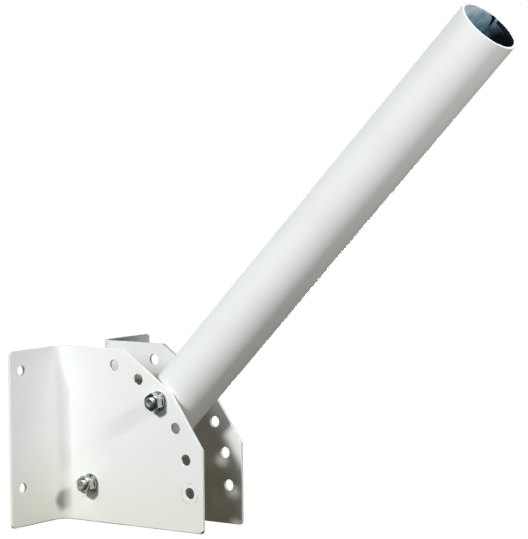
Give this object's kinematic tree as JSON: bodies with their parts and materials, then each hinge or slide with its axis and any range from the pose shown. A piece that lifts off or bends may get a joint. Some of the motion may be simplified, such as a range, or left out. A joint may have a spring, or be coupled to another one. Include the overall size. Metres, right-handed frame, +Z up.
{
  "type": "satellite dish wall bracket",
  "caption": "Wall bracket of bent sheet-steel side plates holding a tilting round mast for a satellite dish, locked by a bolt in an arc of index holes.",
  "frame": {"origin": "centre of the four wall holes, on the wall plane", "axes": "+X out from the wall, +Y to the right of someone facing the wall, +Z up"},
  "size_m": [0.4047, 0.176, 0.4036],
  "materials": {
    "white_coat": "satin white powder coat",
    "zinc": "bright zinc plate"
  },
  "bodies": {
    "bracket": {"left_plate": "white_coat", "right_plate": "white_coat", "pivot_bolt": "zinc", "pivot_head_washer": "zinc", "pivot_washer": "zinc", "pivot_spring_washer": "zinc", "pivot_nut": "zinc"},
    "mast": {"mast_tube": "white_coat"},
    "lock_bolt_set": {"lock_bolt": "zinc", "lock_head_washer": "zinc"},
    "lock_nut_set": {"lock_washer": "zinc", "lock_spring_washer": "zinc", "lock_nut": "zinc"}
  },
  "joints": [
    {"name": "mast_tilt", "type": "hinge", "parent": "bracket", "child": "mast", "pos_m": [0.03201, 0, -0.047], "axis": [0, -1, 0], "range_deg": [-45, 30], "deforming": ["lock_bolt"]},
    {"name": "lock_bolt_draw", "type": "slide", "parent": "mast", "child": "lock_bolt_set", "axis": [0, 1, 0], "range_m": [0, 0.07]},
    {"name": "lock_nut_off", "type": "slide", "parent": "mast", "child": "lock_nut_set", "axis": [0, -1, 0], "range_m": [0, 0.016]}
  ]
}
